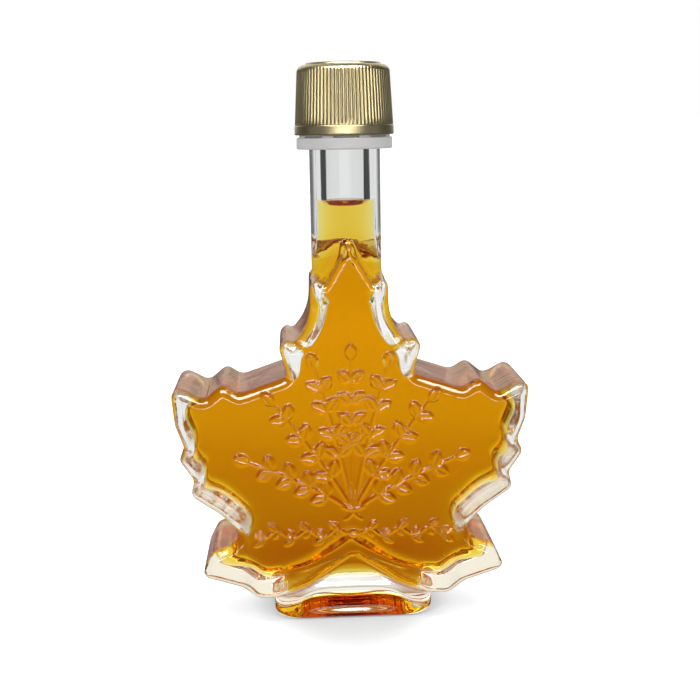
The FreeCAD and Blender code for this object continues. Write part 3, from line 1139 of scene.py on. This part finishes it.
# ---- settings, operators ---------------------------------------


def length_setting(name, description, default):
    words = {"name": name, "description": description, "unit": "LENGTH", "subtype": "DISTANCE"}
    return FloatProperty(default=default, **words)


def colour_setting(name, description, default):
    return FloatVectorProperty(name=name, description=description, default=default, subtype="COLOR")


class GlassSettings(bpy.types.PropertyGroup):
    neck_radius: length_setting("Neck radius", "Outer radius of the neck", 0.0093)
    bore_radius: length_setting("Bore radius", "Radius of the neck's bore", 0.00505)
    rim: length_setting("Rim", "Rounding of the leaf's rims", 0.0029)
    edge_wall: length_setting("Side wall", "Glass where the leaf's edge faces sideways", 0.0030)
    shoulder_extra: length_setting("Shoulder extra", "Further side wall above the arms", 0.0014)
    top_wall: length_setting("Top wall", "Glass where the leaf's edge faces up", 0.0012)
    bottom_wall: length_setting("Bottom wall", "Glass where the leaf's edge faces down", 0.0052)
    notch_wall: length_setting("Notch wall", "Glass over the notch above the foot", 0.0016)
    face_wall: length_setting("Face wall", "Glass before and behind the syrup", 0.003)
    kick_height: length_setting("Kick height", "How far the underside is pushed up in the middle", 0.005)
    relief_height: length_setting("Ornament height", "How far the ornament stands out", 0.0011)
    mesh_step: length_setting("Mesh step", "Size of the glass mesh's faces", 0.00088)
    colour: colour_setting("Glass colour", "Tint of the clear glass", (0.99, 0.995, 0.992))


class SyrupSettings(bpy.types.PropertyGroup):
    reach: length_setting("Reach", "How far the syrup reaches into the glass", 0.00012)
    meniscus_rise: length_setting("Meniscus", "How far the syrup climbs the wall", 0.0018)
    colour: colour_setting("Syrup colour", "What a little syrup lets through", (0.968, 0.847, 0.0))
    density: FloatProperty(name="Density", description="Strength of the colour, per metre", default=290.0)


class CapSettings(bpy.types.PropertyGroup):
    rib_count: IntProperty(name="Ribs", description="Number of ribs round the cap", default=78)
    rib_depth: length_setting("Rib depth", "Depth of the grooves between ribs", 0.00024)
    colour: colour_setting("Cap colour", "Colour of the gold lacquer", (0.66, 0.56, 0.30))
    roughness: FloatProperty(name="Roughness", description="How dull the lacquer is", default=0.34)


class RingSettings(bpy.types.PropertyGroup):
    bridge_count: IntProperty(name="Bridges", description="Number of bridges to the cap", default=8)
    colour: colour_setting("Ring colour", "Colour of the milky plastic", (0.56, 0.555, 0.55))


class StageSettings(bpy.types.PropertyGroup):
    room: FloatProperty(name="Room light", description="Strength of the light all round", default=0.75)
    lamp_power: FloatProperty(name="Lamp power", description="Brightest lamp", default=1.6, unit="POWER")


class BottleSettings(bpy.types.PropertyGroup):
    glass: PointerProperty(type=GlassSettings)
    syrup: PointerProperty(type=SyrupSettings)
    cap: PointerProperty(type=CapSettings)
    ring: PointerProperty(type=RingSettings)
    stage: PointerProperty(type=StageSettings)


def place_piece(piece, node):
    """The piece stands for a CAD node and rides on the bottle's one body."""
    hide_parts(node)
    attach(piece, "root")


class LEAFBOTTLE_OT_glass(bpy.types.Operator):
    """Make the glass bottle with its raised ornament"""

    bl_idname = "leaf_bottle.glass"
    bl_label = "Glass bottle"

    def execute(self, context):
        glass = context.scene.leaf_bottle.glass
        place_piece(make_glass(BottleShape(glass), glass), "bottle")
        return {"FINISHED"}


class LEAFBOTTLE_OT_syrup(bpy.types.Operator):
    """Make the syrup that fills the bottle"""

    bl_idname = "leaf_bottle.syrup"
    bl_label = "Syrup"

    def execute(self, context):
        settings = context.scene.leaf_bottle
        piece = make_syrup(BottleShape(settings.glass), settings.glass, settings.syrup)
        place_piece(piece, "syrup")
        return {"FINISHED"}


class LEAFBOTTLE_OT_cap(bpy.types.Operator):
    """Make the ribbed gold screw cap"""

    bl_idname = "leaf_bottle.cap"
    bl_label = "Screw cap"

    def execute(self, context):
        place_piece(make_cap(context.scene.leaf_bottle.cap), "cap")
        return {"FINISHED"}


class LEAFBOTTLE_OT_ring(bpy.types.Operator):
    """Make the milky tamper ring under the cap"""

    bl_idname = "leaf_bottle.ring"
    bl_label = "Tamper ring"

    def execute(self, context):
        place_piece(make_ring(context.scene.leaf_bottle.ring), "tamper_ring")
        return {"FINISHED"}


class LEAFBOTTLE_OT_stage(bpy.types.Operator):
    """Make the floor, the room's light, the lamps and the camera"""

    bl_idname = "leaf_bottle.stage"
    bl_label = "Stage"

    def execute(self, context):
        stage = context.scene.leaf_bottle.stage
        make_world(stage)
        make_floor(stage)
        make_lamps(stage)
        make_camera()
        return {"FINISHED"}


class LEAFBOTTLE_PT_panel(bpy.types.Panel):
    """Lists the bottle's settings and pieces"""

    bl_idname = "LEAFBOTTLE_PT_panel"
    bl_label = "Leaf syrup bottle"
    bl_space_type = "VIEW_3D"
    bl_region_type = "UI"
    bl_category = "Leaf bottle"

    def draw(self, context):
        settings = context.scene.leaf_bottle
        for operator, group in PIECES:
            box = self.layout.box()
            box.operator(operator.bl_idname)
            values = getattr(settings, group)
            for name in type(values).__annotations__:
                box.prop(values, name)


PIECES = (
    (LEAFBOTTLE_OT_glass, "glass"),
    (LEAFBOTTLE_OT_syrup, "syrup"),
    (LEAFBOTTLE_OT_cap, "cap"),
    (LEAFBOTTLE_OT_ring, "ring"),
    (LEAFBOTTLE_OT_stage, "stage"),
)
CLASSES = (
    GlassSettings,
    SyrupSettings,
    CapSettings,
    RingSettings,
    StageSettings,
    BottleSettings,
    *(operator for operator, _ in PIECES),
    LEAFBOTTLE_PT_panel,
)


def register():
    for cls in CLASSES:
        bpy.utils.register_class(cls)
    bpy.types.Scene.leaf_bottle = PointerProperty(type=BottleSettings)


def unregister():
    del bpy.types.Scene.leaf_bottle
    for cls in reversed(CLASSES):
        bpy.utils.unregister_class(cls)


def main():
    register()
    bpy.ops.leaf_bottle.glass()
    bpy.ops.leaf_bottle.syrup()
    bpy.ops.leaf_bottle.cap()
    bpy.ops.leaf_bottle.ring()
    bpy.ops.leaf_bottle.stage()


if __name__ == "__main__":
    main()
